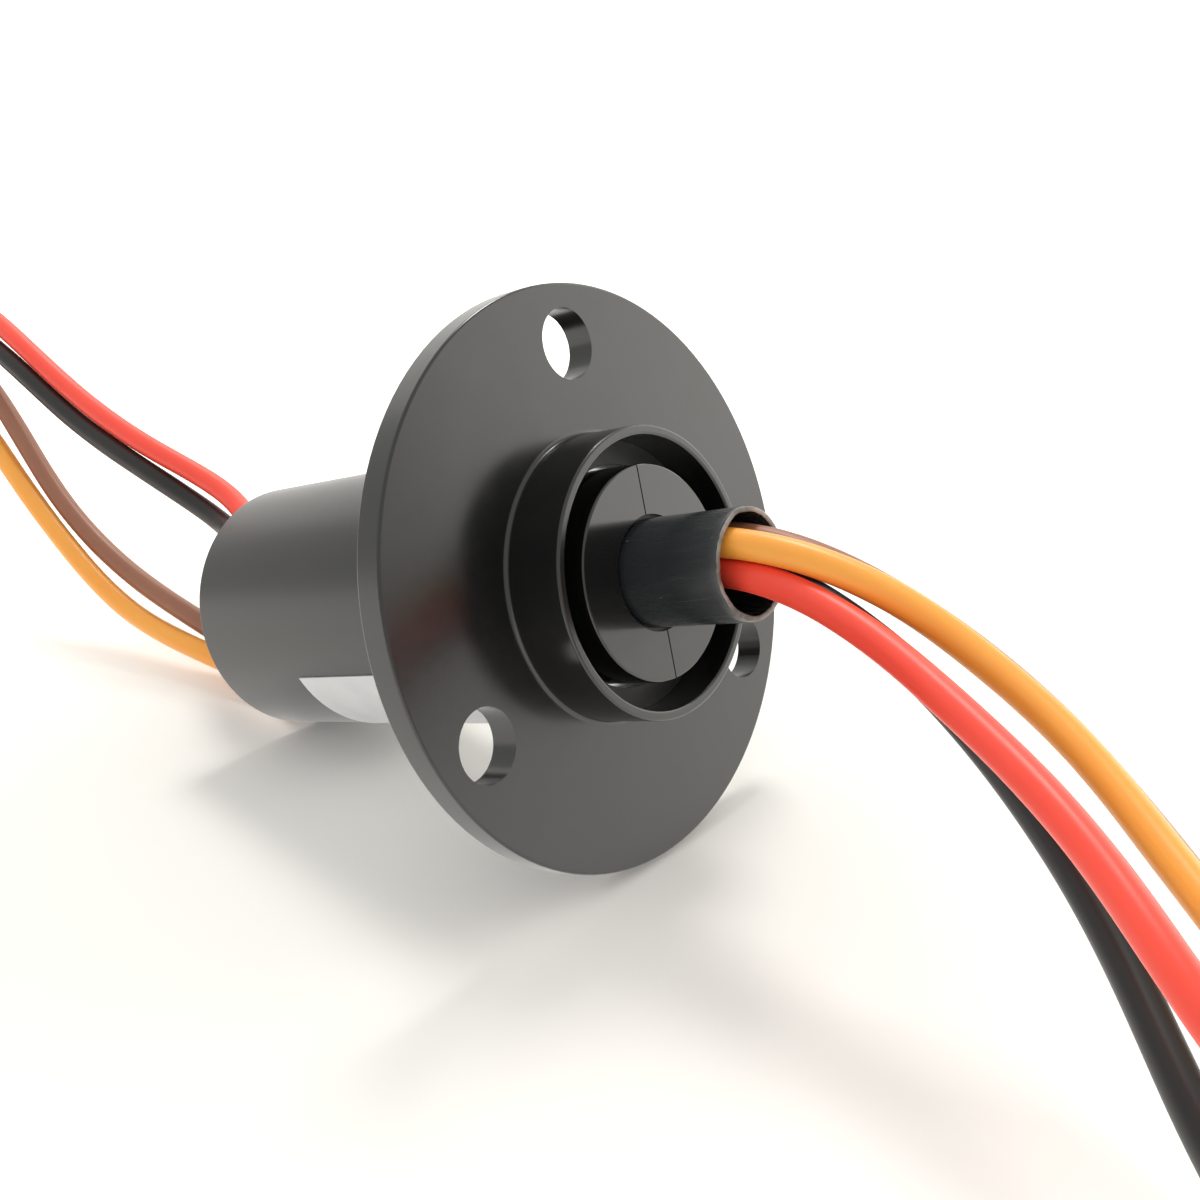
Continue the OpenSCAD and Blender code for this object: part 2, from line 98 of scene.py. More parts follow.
# %% [markdown]
# ## Surfaces from arrays
# A skin is a grid of points, row by row. Its faces join each point to its neighbours in the next
# column and the next row, and a wrapped grid joins its last column to its first.


# %% Grid to mesh
def skin(name, grid, body, wrap=False, caps=False, size=(1.0, 1.0), flip=False):
    """Face (r, c) joins grid points (r, c), (r, c+1), (r+1, c+1), (r+1, c); caps are one face each.
    The UV map runs from 0 to size along the columns and the rows, in millimetres."""
    rows, cols = grid.shape[:2]
    r, c = np.meshgrid(np.arange(rows - 1), np.arange(cols - (not wrap)), indexing="ij")
    r, c = r.ravel(), c.ravel()
    corners = [(r, c), (r, c + 1), (r + 1, c + 1), (r + 1, c)]
    if flip:
        corners.reverse()
    faces = np.stack([a * cols + b % cols for a, b in corners], 1)
    across = cols if wrap else cols - 1
    uv = np.stack([np.stack([b / across * size[0], a / (rows - 1) * size[1]], -1)
                   for a, b in corners], 1).reshape(-1, 2)
    polygons = faces.tolist()
    if caps:
        ends = [np.arange(cols), (rows - 1) * cols + np.arange(cols)[::-1]]
        polygons += [(e if flip else e[::-1]).tolist() for e in ends]
        uv = np.vstack([uv, np.zeros((2 * cols, 2))])
    mesh = bpy.data.meshes.new(name)
    mesh.from_pydata((grid.reshape(-1, 3) * MM).tolist(), [], polygons)
    mesh.uv_layers.new(name="skin_uv").data.foreach_set("uv", uv.astype(np.float32).ravel())
    smooth = np.ones(len(mesh.polygons), bool)
    smooth[len(faces):] = False
    mesh.polygons.foreach_set("use_smooth", smooth)
    mesh.validate()
    piece = bpy.data.objects.new(name, mesh)
    bpy.context.scene.collection.objects.link(piece)
    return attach(piece, body) if body else piece


# %% [markdown]
# ## The leads
# Each circuit's lead is a stranded wire in extruded insulation 2.2 mm thick. It springs out of its
# exit in a long curve, comes down to the table and ends in a tied coil. A natural cubic spline
# through the route's points has no kinks, which is how a springy wire bends. The coil is a helix
# that sinks by one diameter a turn, so its turns lie on each other.

# %% Routes
LEAD_D = 2.2
COIL_BASE = 0.5
SLEEVE_Z, ROOT_Z = 13.6, -2.0


def sleeve_start(u, w):
    """Two points on a line along the axis: on the potting and in the sleeve's mouth."""
    return at_rest([u, u], [w, w], [ROOT_Z, SLEEVE_Z])


def cap_start(side, w):
    """Three points: on the brush board's end, in the rear cap's slot and just behind it."""
    return at_rest(np.array([7.5, 7, 7]) * side, [w] * 3, [-30, REAR_Z, REAR_Z - 3.4])


def spline(points, step=0.5):
    """Natural cubic spline: each stretch is a cubic in chord length, and its second derivatives m
    solve h0*m0 + 2(h0+h1)*m1 + h1*m2 = 6(slope1 - slope0) at each inner point."""
    points = np.asarray(points, float)
    h = np.linalg.norm(np.diff(points, axis=0), axis=1)
    slope = np.diff(points, axis=0) / h[:, None]
    n = len(points)
    a = np.eye(n)
    inner = np.arange(1, n - 1)
    a[inner, inner - 1], a[inner, inner], a[inner, inner + 1] = h[:-1], 2 * (h[:-1] + h[1:]), h[1:]
    b = np.zeros_like(points)
    b[1:-1] = 6 * np.diff(slope, axis=0)
    m = np.linalg.solve(a, b)
    at = np.concatenate([[0], np.cumsum(h)])
    s = np.linspace(0, at[-1], int(at[-1] / step) + 1)
    k = np.clip(np.searchsorted(at, s, side="right") - 1, 0, n - 2)
    t, hk = (s - at[k])[:, None], h[k][:, None]
    return (points[k] + t * (slope[k] - hk * (2 * m[k] + m[k + 1]) / 6)
            + t**2 * m[k] / 2 + t**3 * (m[k + 1] - m[k]) / (6 * hk))


def coil(at, radius, turns, start_deg, step_deg=6):
    """Helix: radius round a vertical line, height one diameter lower for each full turn."""
    t = np.linspace(0, turns, int(turns * 360 / step_deg) + 1)[1:]
    angle = np.radians(start_deg) + 2 * math.pi * t
    height = COIL_BASE + LEAD_D / 2 + LEAD_D * (turns - t)
    return np.stack([at[0] + radius * np.cos(angle), at[1] + radius * np.sin(angle), height], 1)


FRONT_COIL, REAR_COIL = (98, -10), (-120, -8)
ROUTES = {
    "front_red_lead": (sleeve_start(-0.6, -1.2), [
        (35.6, -3.4, 24.8), (44.2, -8, 23.8), (51.4, -12.5, 22.7), (57.2, -16.8, 21.4),
        (63, -21.4, 19.5), (73, -25, 14), (84, -25, 8), (98, -23.9, 5.2)],
        (FRONT_COIL, 13.9, 1.6, -90)),
    "front_orange_lead": (sleeve_start(1.7, -1.2), [
        (36.2, -0.5, 26.3), (43.8, -1.2, 23.6), (50.8, -3.9, 21.2), (56.9, -8, 19.1),
        (63.5, -13.3, 17.2), (72.5, -19, 13.4), (84, -22, 8.6), (98, -21.7, 5.8)],
        (FRONT_COIL, 11.7, 1.9, -90)),
    "front_brown_lead": (sleeve_start(1.2, 1.5), [
        (34.9, 2.3, 25.2), (42.7, 1.7, 22.4), (49.9, -1, 19.8), (56.2, -4.9, 17.5),
        (63, -10.2, 15.4), (73, -16.6, 12.2), (84, -19.6, 8.8), (98, -19.5, 6.7)],
        (FRONT_COIL, 9.5, 2.3, -90)),
    "front_black_lead": (sleeve_start(-1.3, 1.4), [
        (35.5, -1.3, 23.6), (42, -4.6, 22.4), (50, -8.5, 19), (57.3, -13.8, 15.4),
        (63.6, -20.3, 12.6), (72, -26.4, 9.4), (83, -28, 6.6), (98, -26.1, 4.7)],
        (FRONT_COIL, 16.1, 1.4, -90)),
    "rear_red_lead": (cap_start(1, 1.25), [
        (-38.2, 4, 16.9), (-49.5, 3.5, 20.1), (-62.8, 3.2, 24.1), (-78.2, 3.7, 30.2),
        (-92, 5.2, 31.6), (-104, 6.8, 23), (-112, 7.8, 11.2), (-120, 8.1, 5)],
        (REAR_COIL, 16.1, 1.3, 90)),
    "rear_black_lead": (cap_start(1, -1.25), [
        (-38, 2.6, 14.6), (-49.2, 2.4, 17.9), (-62.5, 2.1, 21.9), (-77.4, 2.3, 27.8),
        (-90, 3.3, 29), (-102, 4.6, 21.6), (-110.5, 5.6, 11.2), (-120, 5.9, 5.4)],
        (REAR_COIL, 13.9, 1.5, 90)),
    "rear_brown_lead": (cap_start(-1, 1.25), [
        (-40, -0.6, 5), (-50, -0.8, 7.4), (-62, -0.6, 12.7), (-73.3, 0.7, 20.4),
        (-85, 2, 25.6), (-97, 3.2, 20.8), (-107.5, 3.7, 12), (-120, 3.7, 5.9)],
        (REAR_COIL, 11.7, 1.8, 90)),
    "rear_orange_lead": (cap_start(-1, -1.25), [
        (-37.2, -2.3, 2.8), (-48, -3, 4.6), (-59.4, -2.8, 9.6), (-71, -1.8, 16.4),
        (-83, -0.5, 21.8), (-95, 0.9, 17.8), (-106, 1.5, 10.8), (-120, 1.5, 6.6)],
        (REAR_COIL, 9.5, 2.15, 90)),
}
paths = {name: spline(np.vstack([start, free, coil(*turns)]))
         for name, (start, free, turns) in ROUTES.items()}
for name, path in paths.items():
    print(name, "length", np.linalg.norm(np.diff(path, axis=0), axis=1).sum().round(1), "mm")


# %% [markdown]
# ## Lead surface
# A tube is the set of points one radius from its path. The ring round each path point is drawn in
# the plane across the path, from a sideways direction that always lies level, so the tube never
# twists. Extruded insulation isn't perfectly round or even, so the radius wanders by a hundredth.

# %% Tubes along the paths
SIDES = 28


def across(path):
    """Level sideways direction and the direction square to it, at each point of the path."""
    along = np.gradient(path, axis=0)
    along /= np.linalg.norm(along, axis=1, keepdims=True)
    side = np.cross([0, 0, 1], along)
    side /= np.linalg.norm(side, axis=1, keepdims=True)
    return along, side, np.cross(along, side)


def tube(path, radius, sides=SIDES):
    """Point (i, k) is path i plus radius times (cos a * side + sin a * square), a = k / sides."""
    _, side, square = across(path)
    a = np.linspace(0, 2 * math.pi, sides, endpoint=False)[None, :, None]
    radius = np.broadcast_to(radius, (len(path), sides))[..., None]
    return path[:, None] + radius * (np.cos(a) * side[:, None] + np.sin(a) * square[:, None])


def uneven(path, depth):
    """Radius of the insulation: the nominal one plus three slow waves along and one round it."""
    s = np.linspace(0, len(path) * 0.5, len(path))[:, None]
    a = np.linspace(0, 2 * math.pi, SIDES, endpoint=False)[None]
    waves = sum(np.sin(2 * math.pi * s / length + rng.uniform(0, 6) + k * a)
                for length, k in ((9, 0), (17, 1), (31, 2)))
    return LEAD_D / 2 - depth + depth * waves / 3


TIP_LEN, STRAND_BUNDLE_R = 5.0, 0.62
leads, tips = {}, {}
for name, path in paths.items():
    end = "front" if name.startswith("front") else "rear"
    body = "rotor" if end == "front" else "stator"
    length = np.linalg.norm(np.diff(path, axis=0), axis=1).sum()
    lead = skin(name.replace("lead", "insulated_lead"), tube(path, uneven(path, 0.012)), body,
                wrap=True, caps=True, size=(math.pi * LEAD_D, length))
    leads[name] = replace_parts(lead, name, end + "_lead_coil")

    # The stripped end: seven strands twisted together and tinned, so their lobes turn with s.
    (cx, cy), radius, turns, start = ROUTES[name][2]
    s = np.linspace(-0.4, TIP_LEN, 40)
    angle = math.radians(start) + 2 * math.pi * turns + s / radius
    core = np.stack([cx + radius * np.cos(angle), cy + radius * np.sin(angle),
                     np.full(40, COIL_BASE + LEAD_D / 2)], 1)
    a = np.linspace(0, 2 * math.pi, SIDES, endpoint=False)[None]
    lobes = STRAND_BUNDLE_R * (0.93 + 0.07 * np.cos(6 * a + 2 * math.pi * s[:, None] / 5))
    lobes *= np.where(s > TIP_LEN - 0.3, 0.9, 1.0)[:, None]
    tips[name] = skin(name.replace("lead", "stripped_end"), tube(core, lobes), body, wrap=True,
                      caps=True, size=(4, TIP_LEN))
print(len(leads), "leads of", len(paths["rear_red_lead"]), "rings or so, each with a stripped end")

# %% [markdown]
# ## Colour and node helpers
# Colours are written as sRGB hex, as a paint chart gives them, and Blender wants linear light.
# One small function adds any node with its settings, numbers and links.


# %% Helpers for materials
def linear(code):
    """Each channel c: c / 12.92 below 0.04045, else ((c + 0.055) / 1.055) to the power 2.4."""
    c = np.array([int(code[i:i + 2], 16) / 255 for i in (1, 3, 5)])
    return [*np.where(c <= 0.04045, c / 12.92, ((c + 0.055) / 1.055) ** 2.4).tolist(), 1.0]


def add(tree, kind, inputs=None, **settings):
    """Adds a node; settings are its own properties, and inputs are numbers or sockets to link."""
    new = tree.nodes.new(kind)
    for key, value in settings.items():
        setattr(new, key, value)
    for key, value in (inputs or {}).items():
        if isinstance(value, bpy.types.NodeSocket):
            tree.links.new(value, new.inputs[key])
        else:
            new.inputs[key].default_value = value
    return new


def start_material(name, **sockets):
    """An empty material with a Principled surface whose constant sockets are set."""
    material = bpy.data.materials.new(name)
    material.use_nodes = True
    tree = material.node_tree
    tree.nodes.clear()
    surface = add(tree, "ShaderNodeBsdfPrincipled")
    for key, value in sockets.items():
        surface.inputs[key.replace("_", " ")].default_value = value
    out = add(tree, "ShaderNodeOutputMaterial")
    tree.links.new(surface.outputs["BSDF"], out.inputs["Surface"])
    return material, tree, surface


def dress(piece, *materials):
    """The piece's material slots, in order."""
    piece.data.materials.clear()
    for material in materials:
        piece.data.materials.append(material)


# %% [markdown]
# ## Moulded black plastic
# The housing and the disc halves are glass-filled nylon or ABS from a polished steel mould. The
# mould leaves a faint skin of ripples a few tenths of a millimetre across, and handling leaves
# soft cloudy patches in the gloss. The black is deep, so nearly all that the eye sees on it is
# the reflected room: an IOR of 1.5 and a roughness near 0.3 do most of the work.

# %% Moulded plastic
CLOUD_MM, GRAIN_MM = 4.0, 0.2


def moulded(name, base, cloud, rough, grain_um=3, satin=None, **sockets):
    """Colour drifts from base to cloud over some millimetres, roughness drifts over rough, and
    fine noise of grain_um lifts the skin. Behind the flange, roughness goes over to satin."""
    material, tree, surface = start_material(name, **{"IOR": 1.5, **sockets})
    where = add(tree, "ShaderNodeTexCoord").outputs["Object"]
    clouds = add(tree, "ShaderNodeTexNoise", {"Vector": where, "Scale": 1000 / CLOUD_MM,
                                              "Detail": 4.0, "Roughness": 0.6})
    grain = add(tree, "ShaderNodeTexNoise", {"Vector": where, "Scale": 1000 / GRAIN_MM,
                                             "Detail": 3.0, "Roughness": 0.55})
    ramp = add(tree, "ShaderNodeValToRGB", {"Fac": clouds.outputs["Fac"]})
    ramp.color_ramp.elements[0].position, ramp.color_ramp.elements[1].position = 0.35, 0.7
    ramp.color_ramp.elements[0].color = linear(base)
    ramp.color_ramp.elements[1].color = linear(cloud)
    tree.links.new(ramp.outputs["Color"], surface.inputs["Base Color"])
    gloss = add(tree, "ShaderNodeMapRange", {"Value": clouds.outputs["Fac"], "From Min": 0.3,
                                             "From Max": 0.75, "To Min": rough[0],
                                             "To Max": rough[1]}).outputs["Result"]
    if satin is not None:
        offset = add(tree, "ShaderNodeVectorMath", {0: where, 1: (CENTRE * MM).tolist()},
                     operation="SUBTRACT")
        along = add(tree, "ShaderNodeVectorMath", {0: offset.outputs["Vector"], 1: AXIS.tolist()},
                    operation="DOT_PRODUCT")
        gloss = add(tree, "ShaderNodeMapRange", {"Value": along.outputs["Value"],
                                                 "From Min": -0.004, "From Max": -0.0022,
                                                 "To Min": satin, "To Max": gloss}).outputs["Result"]
    tree.links.new(gloss, surface.inputs["Roughness"])
    bump = add(tree, "ShaderNodeBump", {"Height": grain.outputs["Fac"], "Strength": 0.4,
                                        "Distance": grain_um * 1e-6})
    tree.links.new(bump.outputs["Normal"], surface.inputs["Normal"])
    return material


housing_black = moulded("moulded_black_pbt", "#101010", "#151514", (0.2, 0.27), satin=0.3, IOR=1.6)
disc_black = moulded("polished_black_pbt", "#101010", "#131312", (0.1, 0.15), 1.5, IOR=1.6)
inner_black = moulded("moulded_black_nylon", "#141414", "#1a1a1a", (0.4, 0.55), 8)
spacer_cream = moulded("turned_acetal", "#d8cfb6", "#cbc1a4", (0.4, 0.55), 8)
epoxy_brown = moulded("cast_epoxy", "#4a4034", "#3a332b", (0.12, 0.3), 8)
tie_black = moulded("tie_vinyl", "#1d1d1d", "#262626", (0.35, 0.5), 8)
label_white = moulded("label_film", "#e4e4e6", "#dcdcdf", (0.4, 0.5), 6)
print("plastics made")

# %% [markdown]
# ## Lead insulation
# The insulation is extruded PVC or silicone. Its colour goes through it, and light goes a little
# way in, so its shaded side glows. The die leaves faint lines along it, and the colour drifts
# slightly along the length. The pattern reads the lead's own UV map, in millimetres.

# %% Insulation
LINE_MM, DRIFT_MM = 0.35, 14.0


def insulation(name, base, deep, rough, glow):
    """Colour drifts between base and deep along the lead; die lines a third of a mm apart."""
    material, tree, surface = start_material(name, IOR=1.46, Subsurface_Weight=glow,
                                             Subsurface_Scale=0.0006)
    uv = add(tree, "ShaderNodeUVMap", uv_map="skin_uv").outputs["UV"]
    stretch = add(tree, "ShaderNodeMapping", {"Vector": uv, "Scale": (1 / LINE_MM, 1 / 9, 1)})
    drift = add(tree, "ShaderNodeMapping", {"Vector": uv, "Scale": (0.3, 1 / DRIFT_MM, 1)})
    lines = add(tree, "ShaderNodeTexNoise", {"Vector": stretch.outputs["Vector"], "Scale": 1.0,
                                             "Detail": 2.0})
    patches = add(tree, "ShaderNodeTexNoise", {"Vector": drift.outputs["Vector"], "Scale": 1.0,
                                               "Detail": 4.0, "Roughness": 0.6})
    ramp = add(tree, "ShaderNodeValToRGB", {"Fac": patches.outputs["Fac"]})
    ramp.color_ramp.elements[0].position, ramp.color_ramp.elements[1].position = 0.3, 0.7
    ramp.color_ramp.elements[0].color = linear(base)
    ramp.color_ramp.elements[1].color = linear(deep)
    tree.links.new(ramp.outputs["Color"], surface.inputs["Base Color"])
    span = add(tree, "ShaderNodeMapRange", {"Value": patches.outputs["Fac"], "From Min": 0.3,
                                            "From Max": 0.7, "To Min": rough[0],
                                            "To Max": rough[1]})
    tree.links.new(span.outputs["Result"], surface.inputs["Roughness"])
    bump = add(tree, "ShaderNodeBump", {"Height": lines.outputs["Fac"], "Strength": 0.35,
                                        "Distance": 0.00001})
    tree.links.new(bump.outputs["Normal"], surface.inputs["Normal"])
    return material


INSULATION = {
    "red": insulation("red_insulation", "#ff5340", "#fa4c3a", (0.36, 0.46), 0.2),
    "orange": insulation("orange_insulation", "#ffb24c", "#ffa740", (0.34, 0.44), 0.2),
    "brown": insulation("brown_insulation", "#9c684f", "#936049", (0.36, 0.46), 0.1),
    "black": insulation("black_insulation", "#1c1a19", "#181716", (0.36, 0.46), 0.0),
}
for name, lead in leads.items():
    colour = name.split("_")[1]
    dress(lead, INSULATION[colour])
print("insulation on", len(leads), "leads")

# %% [markdown]
# ## Metals
# Steel races are ground, the balls are polished, the cages are pressed brass, the contact rings
# and brush wires are gold plated, and the strands are tinned copper. A metal's colour is its
# reflection, so each is metallic with a measured tint. Turned pieces have tool lines round them.

# %% Metals
RIDGE_MM = 0.12


def metal(name, tint, rough, stretch=(1, 1, 1)):
    """Noise stretched along one direction shows the tool's marks in roughness and bump."""
    material, tree, surface = start_material(name, Metallic=1.0)
    surface.inputs["Base Color"].default_value = linear(tint)
    where = add(tree, "ShaderNodeTexCoord").outputs["Object"]
    scaled = add(tree, "ShaderNodeMapping", {"Vector": where, "Scale": stretch})
    marks = add(tree, "ShaderNodeTexNoise", {"Vector": scaled.outputs["Vector"],
                                             "Scale": 1000 / RIDGE_MM / 4, "Detail": 3.0})
    span = add(tree, "ShaderNodeMapRange", {"Value": marks.outputs["Fac"], "From Min": 0.3,
                                            "From Max": 0.7, "To Min": rough[0],
                                            "To Max": rough[1]})
    tree.links.new(span.outputs["Result"], surface.inputs["Roughness"])
    bump = add(tree, "ShaderNodeBump", {"Height": marks.outputs["Fac"], "Strength": 0.25,
                                        "Distance": 0.00001})
    tree.links.new(bump.outputs["Normal"], surface.inputs["Normal"])
    return material


race_steel = metal("ground_bearing_steel", "#c4c7cb", (0.16, 0.28), (6, 1, 1))
ball_steel = metal("polished_ball_steel", "#d2d5d9", (0.05, 0.1))
cage_brass = metal("pressed_brass", "#c9a45a", (0.25, 0.4))
contact_gold = metal("gold_plated_brass", "#e2b656", (0.12, 0.24), (8, 1, 1))
wire_gold = metal("gold_alloy_wire", "#dcb25e", (0.2, 0.3))
tinned = metal("tinned_copper", "#c9c6c0", (0.28, 0.45))
for tip in tips.values():
    dress(tip, tinned)

# %% [markdown]
# ## Brush boards
# The boards are glass cloth in epoxy under green solder mask. The cloth's threads show through as
# a fine square weave, half a millimetre from thread to thread.

# %% Board laminate
WEAVE_MM = 0.5
board_green, tree, surface = start_material("green_board_laminate", IOR=1.52, Roughness=0.35)
where = add(tree, "ShaderNodeTexCoord").outputs["Object"]
weave = [add(tree, "ShaderNodeTexWave", {"Vector": where, "Scale": 1000 / WEAVE_MM / 20,
                                         "Distortion": 0.6}, bands_direction=axis)
         for axis in ("X", "Y")]
both = add(tree, "ShaderNodeMath", {0: weave[0].outputs["Fac"], 1: weave[1].outputs["Fac"]},
           operation="MULTIPLY")
ramp = add(tree, "ShaderNodeValToRGB", {"Fac": both.outputs["Value"]})
ramp.color_ramp.elements[0].color, ramp.color_ramp.elements[1].color = (
    linear("#1f5a38"), linear("#2c7047"))
tree.links.new(ramp.outputs["Color"], surface.inputs["Base Color"])
print("board laminate made")

# %% [markdown]
# ## Finishes on the CAD nodes
# Each hard piece keeps its CAD mesh and takes its finish by name.

# %% Carried-over nodes
FINISH = {
    "flanged_housing": housing_black, "near_disc_half": disc_black, "far_disc_half": disc_black,
    "front_retaining_ring": inner_black, "rear_bearing_holder": inner_black,
    "rear_cap": inner_black, "rotor_core": inner_black, "stack_clamp_ring": inner_black,
    "ring_spacers": spacer_cream, "lead_potting": epoxy_brown, "label": label_white,
    "upper_brush_board": board_green, "lower_brush_board": board_green,
    "front_outer_race": race_steel, "front_inner_race": race_steel,
    "rear_outer_race": race_steel, "rear_inner_race": race_steel,
    "front_cage": cage_brass, "rear_cage": cage_brass,
    "front_balls": ball_steel, "rear_balls": ball_steel,
    "front_coil_ties": tie_black, "rear_coil_ties": tie_black,
}
FINISH |= {f"brush_wires_{n}": wire_gold for n in range(1, 5)}
FINISH |= {f"contact_ring_{n}": contact_gold for n in range(1, 5)}
for name, finish in FINISH.items():
    for slot in nodes[name].material_slots:
        slot.material = finish
print("finishes on", len(FINISH), "CAD nodes")

# %% [markdown]
# ## The lead sleeve
# The sleeve is a length of thin black tube, cut off with a knife. The cut leaves an edge that
# isn't flat and a burr, the rim round the mouth is coloured pale, and the wall shows drawing lines
# and small knocks. It is a revolved profile whose mouth is pushed in and out by a few waves round
# it.

# %% Sleeve mesh
SLEEVE_R, SLEEVE_BORE_R, AROUND = 4.05, 3.7, 192
turn_a = np.linspace(0, 2 * math.pi, AROUND, endpoint=False)
MOUTH_Z = SLEEVE_Z - 0.3
ragged = 0.1 * np.cos(turn_a - 0.9) + sum(
    rng.uniform(-1, 1) * np.cos(k * turn_a + rng.uniform(0, 6)) / k**0.4
    for k in range(3, 48)) * 0.026
thin = 0.5 + 0.5 * np.sin(5 * turn_a + 2 * np.sin(3 * turn_a))
burr = 0.2 * np.exp(-(np.angle(np.exp(1j * (turn_a - 3.75))) / 0.3) ** 2)
edge = np.array([[SLEEVE_R, ROOT_Z, 0], [SLEEVE_R, 4, 0], [SLEEVE_R, 9, 0],
                 [SLEEVE_R, MOUTH_Z - 0.9, 0.1], [SLEEVE_R, MOUTH_Z - 0.4, 0.5],
                 [SLEEVE_R - 0.01, MOUTH_Z - 0.12, 1], [SLEEVE_R - 0.05, MOUTH_Z - 0.02, 1],
                 [SLEEVE_R - 0.12, MOUTH_Z, 1], [SLEEVE_BORE_R + 0.12, MOUTH_Z - 0.02, 1],
                 [SLEEVE_BORE_R + 0.05, MOUTH_Z - 0.06, 1],
                 [SLEEVE_BORE_R, MOUTH_Z - 0.15, 1], [SLEEVE_BORE_R, MOUTH_Z - 1, 0.3],
                 [SLEEVE_BORE_R, 6, 0], [SLEEVE_BORE_R, ROOT_Z, 0], [SLEEVE_R, ROOT_Z, 0]])
RIM_ROWS = (5, 10)
z = edge[:, 1:2] + edge[:, 2:] * (ragged - burr * 0.5)[None]
inward = np.where(edge[:, :1] < 3.85, 1.0, 0.25)
radius = edge[:, :1] - edge[:, 2:] * inward * (burr + 0.07 * thin)
sleeve = skin("cut_lead_sleeve", at_rest(radius * np.cos(turn_a), radius * np.sin(turn_a), z),
              "rotor", wrap=True, flip=True)
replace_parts(sleeve, "lead_sleeve")
print("sleeve mouth wanders by", np.ptp(ragged).round(2), "mm")

# %% [markdown]
# ## Sleeve finish
# Drawn tube is smooth along its length. Small white knocks are sparse spots of noise; the cut rim
# is a second finish, pale and rough, on the rows of faces round the mouth.

# %% Sleeve materials
KNOCK_MM, LINE_LONG, LINE_WIDE = 0.7, 6.0, 0.3
sleeve_black, tree, surface = start_material("drawn_black_tube", IOR=1.53)
where = add(tree, "ShaderNodeTexCoord").outputs["Object"]
drawn = add(tree, "ShaderNodeMapping", {"Vector": where, "Rotation": (0, -tilt, 0),
                                        "Scale": (LINE_LONG * MM, LINE_WIDE * MM, LINE_WIDE * MM)},
            vector_type="TEXTURE")
lines = add(tree, "ShaderNodeTexNoise", {"Vector": drawn.outputs["Vector"], "Scale": 1.0,
                                         "Detail": 4.0, "Roughness": 0.6})
knocks = add(tree, "ShaderNodeTexNoise", {"Vector": where, "Scale": 1000 / KNOCK_MM,
                                          "Detail": 5.0, "Roughness": 0.7})
spots = add(tree, "ShaderNodeValToRGB", {"Fac": knocks.outputs["Fac"]})
spots.color_ramp.elements[0].position, spots.color_ramp.elements[1].position = 0.7, 0.75
spots.color_ramp.elements[0].color = linear("#282b2d")
spots.color_ramp.elements[1].color = linear("#9a9ea0")
tree.links.new(spots.outputs["Color"], surface.inputs["Base Color"])
gloss = add(tree, "ShaderNodeMapRange", {"Value": lines.outputs["Fac"], "From Min": 0.3,
                                         "From Max": 0.7, "To Min": 0.2, "To Max": 0.3})
tree.links.new(gloss.outputs["Result"], surface.inputs["Roughness"])
bump = add(tree, "ShaderNodeBump", {"Height": lines.outputs["Fac"], "Strength": 0.4,
                                    "Distance": 0.000002})
tree.links.new(bump.outputs["Normal"], surface.inputs["Normal"])
# The rim round the mouth is coloured pale, from grey to near white in clouds.
cut_rim = moulded("pale_cut_rim", "#5d5751", "#c4bdb3", (0.5, 0.7), 60)
dress(sleeve, sleeve_black, cut_rim)
rows = np.repeat(np.arange(len(edge) - 1), AROUND)
sleeve.data.polygons.foreach_set("material_index",
                                 ((rows >= RIM_ROWS[0]) & (rows < RIM_ROWS[1])).astype(np.int32))
print("sleeve dressed")

# %% [markdown]
# ## Table and light
# The table is a white sweep: level under the part, and curved up far behind it, so no edge shows.
# A black glossy part takes its look from what it mirrors, so a tall soft light stands to the far
# right, where the flange looks, and a smaller one behind and above makes the short shadow. The
# table keeps that shadow near the part, and further off it is plain white to the eye.

# %% Sweep
SWEEP_START, SWEEP_R = 1.9, 0.8
bend = np.linspace(0, math.pi / 2, 24)
run = np.concatenate([[-2.5, -0.5, 0, 0.5], SWEEP_START + SWEEP_R * np.sin(bend),
                      [SWEEP_START + SWEEP_R]])
rise = np.concatenate([[0, 0, 0, 0], SWEEP_R * (1 - np.cos(bend)), [3.0]])
wide = np.linspace(-3.5, 3.5, 3)
away = FORWARD * [1, 1, 0] / np.linalg.norm(FORWARD[:2])
beside = np.array([away[1], -away[0], 0])
sweep = (run[:, None, None] * away + wide[None, :, None] * beside
         + rise[:, None, None] * np.array([0, 0, 1])) / MM
table = skin("white_sweep", sweep, None)

TABLE_GLOW_NEAR, TABLE_GLOW_FAR, TABLE_MIRRORED = 0.1, 0.6, 0.7
white_paper, tree, surface = start_material("white_paper_sweep", Roughness=0.7, IOR=1.4)
surface.inputs["Base Color"].default_value = linear("#edece8")
surface.inputs["Emission Color"].default_value = linear("#fffefb")
rays = add(tree, "ShaderNodeLightPath")
where = add(tree, "ShaderNodeTexCoord").outputs["Object"]
distance = add(tree, "ShaderNodeVectorMath", {0: where, 1: (0.0, -0.01, 0.0)}, operation="DISTANCE")
glow = add(tree, "ShaderNodeMapRange", {"Value": distance.outputs["Value"], "From Min": 0.03,
                                        "From Max": 0.1, "To Min": TABLE_GLOW_NEAR,
                                        "To Max": TABLE_GLOW_FAR}, interpolation_type="SMOOTHSTEP")
seen = add(tree, "ShaderNodeMath", {0: rays.outputs["Is Camera Ray"], 1: glow.outputs["Result"]},
           operation="MULTIPLY")
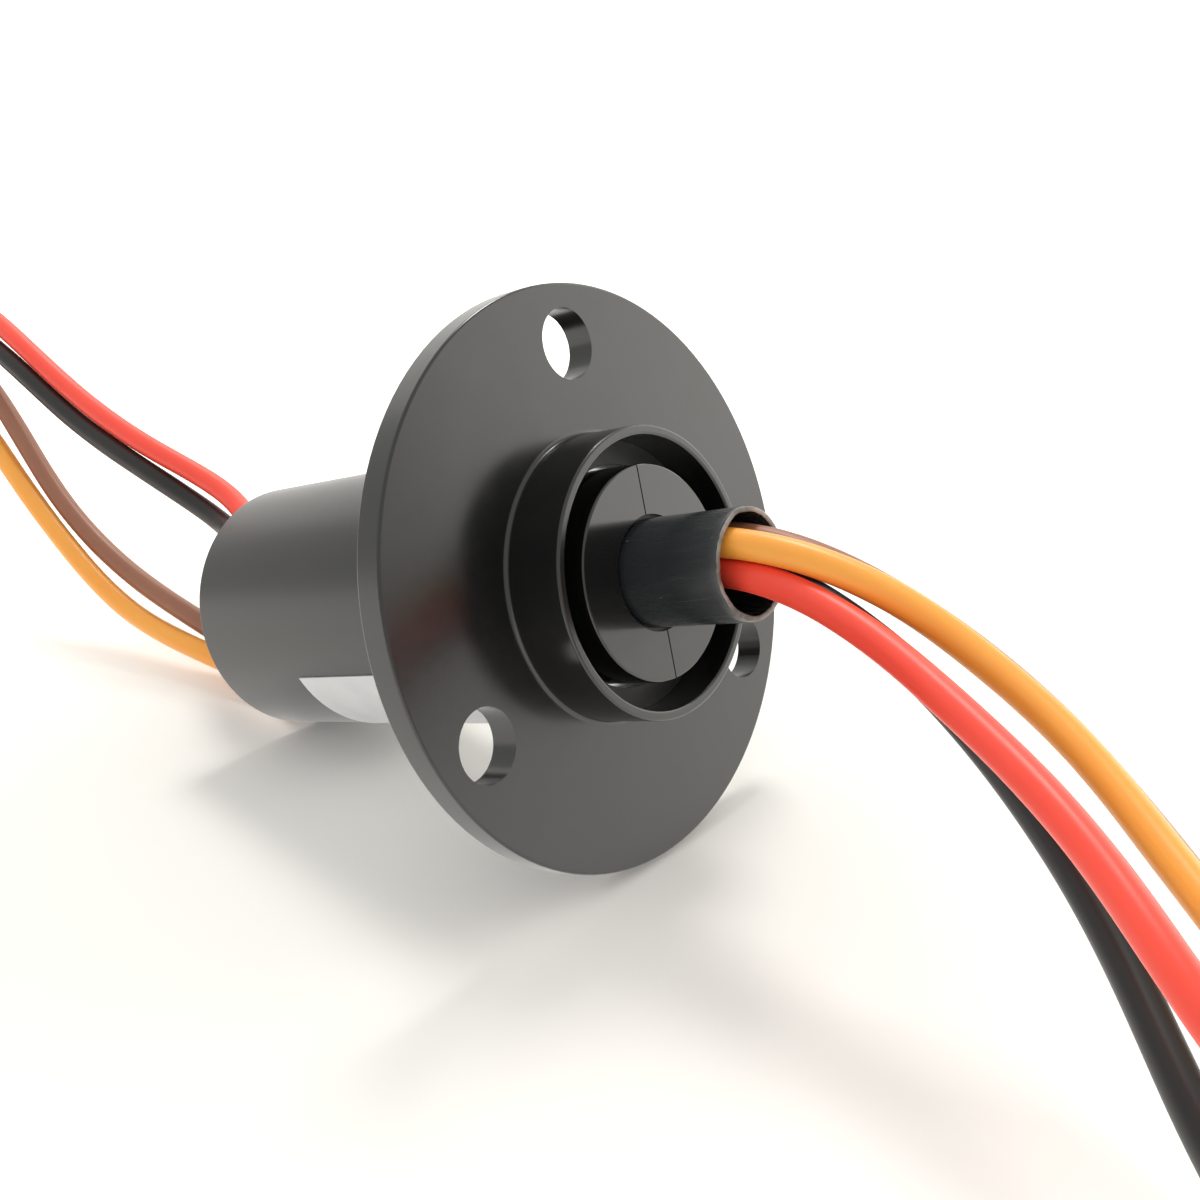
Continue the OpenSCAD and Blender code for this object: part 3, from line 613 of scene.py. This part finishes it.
mirrored = add(tree, "ShaderNodeMath", {0: rays.outputs["Is Glossy Ray"], 1: TABLE_MIRRORED,
                                        2: seen.outputs[0]}, operation="MULTIPLY_ADD")
tree.links.new(mirrored.outputs[0], surface.inputs["Emission Strength"])
dress(table, white_paper)
print("sweep turns up", SWEEP_START, "m behind the part")

# %% World
FILL, MIRRORED_ROOM = 0.88, 0.9
world = bpy.data.worlds.new("room")
bpy.context.scene.world = world
world.use_nodes = True
tree = world.node_tree
tree.nodes.clear()
rays = add(tree, "ShaderNodeLightPath")
glossy = add(tree, "ShaderNodeMath", {0: rays.outputs["Is Glossy Ray"], 1: MIRRORED_ROOM - FILL,
                                      2: FILL}, operation="MULTIPLY_ADD")
white = add(tree, "ShaderNodeMath", {0: rays.outputs["Is Camera Ray"], 1: 1.0 - FILL,
                                     2: glossy.outputs[0]}, operation="MULTIPLY_ADD")
background = add(tree, "ShaderNodeBackground", {"Color": linear("#fffefc"),
                                                "Strength": white.outputs[0]})
out = add(tree, "ShaderNodeOutputWorld")
tree.links.new(background.outputs[0], out.inputs["Surface"])


# %% Lamps
def soft_lamp(name, azimuth, elevation, distance, width, height, radiance):
    """A rectangle of light facing the part. Its power is pi times its area times its radiance."""
    lamp = bpy.data.lights.new(name, "AREA")
    lamp.shape, lamp.size, lamp.size_y = "RECTANGLE", width, height
    lamp.energy = math.pi * width * height * radiance
    lamp.color = linear("#fffbf4")[:3]
    holder = bpy.data.objects.new(name, lamp)
    bpy.context.scene.collection.objects.link(holder)
    az, el = math.radians(azimuth), math.radians(elevation)
    back = np.array([math.cos(el) * math.cos(az), math.cos(el) * math.sin(az), math.sin(el)])
    side = np.cross([0, 0, 1], back)
    side /= np.linalg.norm(side)
    facing = np.column_stack([side, np.cross(back, side), back])
    place = back * distance + CENTRE * MM
    holder.matrix_world = Matrix.Translation(place) @ Matrix(facing.tolist()).to_4x4()
    return holder


soft_lamp("tall_soft_light", 66, 19, 1.1, 0.95, 0.75, 1.55)
soft_lamp("lamp_behind", 127, 58, 0.9, 0.22, 0.22, 22)
print("room lit")

# %% View settings
bpy.context.scene.view_settings.view_transform = "Standard"
